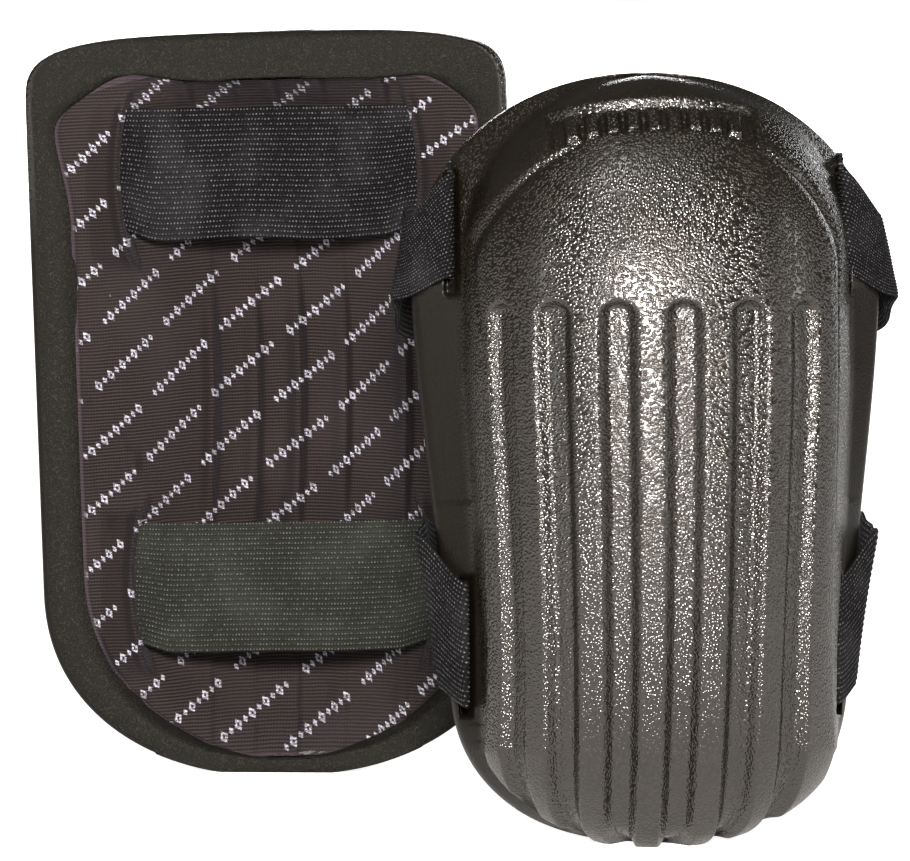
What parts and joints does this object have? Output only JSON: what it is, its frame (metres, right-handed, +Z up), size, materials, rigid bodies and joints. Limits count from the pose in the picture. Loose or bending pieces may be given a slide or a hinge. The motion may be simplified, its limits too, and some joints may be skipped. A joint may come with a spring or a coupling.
{
  "type": "knee pads",
  "caption": "Moulded foam knee pads with ribbed cups, knit-lined cushions and elastic leg straps that close with hook-and-loop ends.",
  "frame": {"origin": "on the ground plane, under the middle of the pair of pads", "axes": "+Z up along the pads' height, -Y the way the right pad's knee dome faces, +X towards the right pad"},
  "size_m": [0.2436, 0.2588, 0.2154],
  "materials": {
    "shell_foam": "pebble-grained closed-cell foam, satin",
    "cushion_foam": "soft open foam",
    "lining_knit": "fine ribbed knit with a pale printed pattern",
    "strap_webbing": "woven elastic webbing",
    "loop_pile": "loop pile",
    "strap_end": "woven webbing with a hook face",
    "thread": "polyester thread"
  },
  "bodies": {
    "right_pad": {"right_shell": "shell_foam", "right_cushion": "cushion_foam", "right_lining": "lining_knit", "right_upper_inner_band": "strap_webbing", "right_lower_inner_band": "strap_webbing"},
    "right_upper_loop": {"right_upper_leg_band": "strap_webbing", "right_upper_loop_patch": "loop_pile"},
    "right_upper_tab": {"right_upper_hook_tab": "strap_end", "right_upper_tab_stitching": "thread"},
    "right_lower_loop": {"right_lower_leg_band": "strap_webbing", "right_lower_loop_patch": "loop_pile"},
    "right_lower_tab": {"right_lower_hook_tab": "strap_end", "right_lower_tab_stitching": "thread"},
    "left_pad": {"left_shell": "shell_foam", "left_cushion": "cushion_foam", "left_lining": "lining_knit", "left_upper_inner_band": "strap_webbing", "left_lower_inner_band": "strap_webbing"},
    "left_upper_loop": {"left_upper_leg_band": "strap_webbing", "left_upper_loop_patch": "loop_pile"},
    "left_upper_tab": {"left_upper_hook_tab": "strap_end", "left_upper_tab_stitching": "thread"},
    "left_lower_loop": {"left_lower_leg_band": "strap_webbing", "left_lower_loop_patch": "loop_pile"},
    "left_lower_tab": {"left_lower_hook_tab": "strap_end", "left_lower_tab_stitching": "thread"}
  },
  "joints": [
    {"name": "pads_apart", "type": "slide", "parent": "right_pad", "child": "left_pad", "axis": [-1, 0, 0], "range_m": [0, 0.15]},
    {"name": "right_upper_loop_swing", "type": "hinge", "parent": "right_pad", "child": "right_upper_loop", "pos_m": [0.0532, -0.05739, 0.1696], "axis": [0.9976, 0.0698, 0], "range_deg": [-10, 30]},
    {"name": "right_upper_tab_peel", "type": "hinge", "parent": "right_upper_loop", "child": "right_upper_tab", "pos_m": [0.08141, -0.00204, 0.14477], "axis": [0.0295, -0.4216, -0.9063], "range_deg": [0, 100]},
    {"name": "right_lower_loop_swing", "type": "hinge", "parent": "right_pad", "child": "right_lower_loop", "pos_m": [0.0542, -0.07173, 0.05248], "axis": [0.9976, 0.0698, 0], "range_deg": [-30, 10]},
    {"name": "right_lower_tab_peel", "type": "hinge", "parent": "right_lower_loop", "child": "right_lower_tab", "pos_m": [0.0821, -0.01197, 0.06369], "axis": [-0.0133, 0.1903, -0.9816], "range_deg": [0, 100]},
    {"name": "left_upper_loop_swing", "type": "hinge", "parent": "left_pad", "child": "left_upper_loop", "pos_m": [-0.05257, 0.06119, 0.17191], "axis": [0.997, -0.0697, 0.0349], "range_deg": [-12, 34]},
    {"name": "left_upper_tab_peel", "type": "hinge", "parent": "left_upper_loop", "child": "left_upper_tab", "pos_m": [-0.01665, 0.12077, 0.18172], "axis": [0.0442, 0.1364, -0.9897], "range_deg": [0, 100]},
    {"name": "left_lower_loop_swing", "type": "hinge", "parent": "left_pad", "child": "left_lower_loop", "pos_m": [-0.04846, 0.0609, 0.05398], "axis": [0.997, -0.0697, 0.0349], "range_deg": [-18, 28]},
    {"name": "left_lower_tab_peel", "type": "hinge", "parent": "left_lower_loop", "child": "left_lower_tab", "pos_m": [-0.01169, 0.11561, 0.02967], "axis": [0.0034, -0.408, -0.913], "range_deg": [0, 100]}
  ]
}
